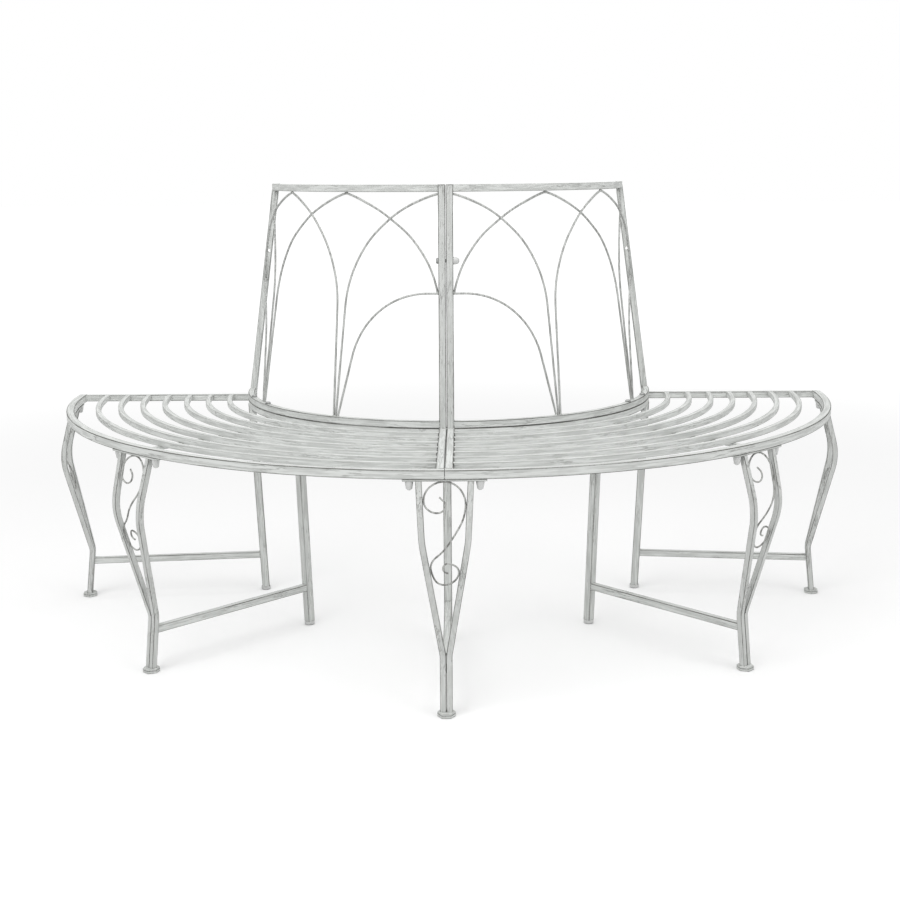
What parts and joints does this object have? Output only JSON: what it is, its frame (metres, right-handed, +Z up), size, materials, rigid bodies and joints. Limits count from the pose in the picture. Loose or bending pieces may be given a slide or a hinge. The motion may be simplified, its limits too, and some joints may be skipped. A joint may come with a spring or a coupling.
{
  "type": "tree bench",
  "caption": "Half-round painted metal garden bench that stands round a tree trunk, with a slatted seat, an arched wire back and bowed legs with scrolls.",
  "frame": {"origin": "on the floor, on the axis of the tree that the bench stands round", "axes": "+Z up, +X to the right as seen from in front of the seat, the seat lies towards -Y and its straight back line is in the XZ plane"},
  "size_m": [1.5874, 0.7945, 0.845],
  "materials": {
    "paint": "matt pale grey-green paint, brushed and worn back to a darker grey along edges",
    "cap_plastic": "moulded, matt, pale grey",
    "bolt_steel": "plated, dull"
  },
  "bodies": {
    "root": {"bolt_caps": "cap_plastic", "centre_inner_leg": "paint", "centre_outer_leg": "paint", "centre_scroll": "paint", "centre_stretcher": "paint", "glide_caps": "cap_plastic", "left_back_bottom_rail": "paint", "left_back_end_post": "paint", "left_back_seam_post": "paint", "left_back_top_rail": "paint", "left_back_tracery": "paint", "left_end_inner_leg": "paint", "left_end_outer_leg": "paint", "left_end_scroll": "paint", "left_end_stretcher": "paint", "left_mid_inner_leg": "paint", "left_mid_outer_leg": "paint", "left_mid_scroll": "paint", "left_mid_stretcher": "paint", "left_seat_end_rail": "paint", "left_seat_inner_rail": "paint", "left_seat_outer_rail": "paint", "left_seat_seam_rail": "paint", "left_seat_slat_1": "paint", "left_seat_slat_2": "paint", "left_seat_slat_3": "paint", "left_seat_slat_4": "paint", "left_seat_slat_5": "paint", "left_seat_slat_6": "paint", "left_seat_slat_7": "paint", "leg_bolts": "bolt_steel", "leg_top_plates": "paint", "outer_feet": "paint", "panel_bolts": "bolt_steel", "panel_nuts": "bolt_steel", "right_back_bottom_rail": "paint", "right_back_end_post": "paint", "right_back_seam_post": "paint", "right_back_top_rail": "paint", "right_back_tracery": "paint", "right_end_inner_leg": "paint", "right_end_outer_leg": "paint", "right_end_scroll": "paint", "right_end_stretcher": "paint", "right_mid_inner_leg": "paint", "right_mid_outer_leg": "paint", "right_mid_scroll": "paint", "right_mid_stretcher": "paint", "right_seat_end_rail": "paint", "right_seat_inner_rail": "paint", "right_seat_outer_rail": "paint", "right_seat_seam_rail": "paint", "right_seat_slat_1": "paint", "right_seat_slat_2": "paint", "right_seat_slat_3": "paint", "right_seat_slat_4": "paint", "right_seat_slat_5": "paint", "right_seat_slat_6": "paint", "right_seat_slat_7": "paint", "seat_mid_bars": "paint"}
  },
  "joints": []
}
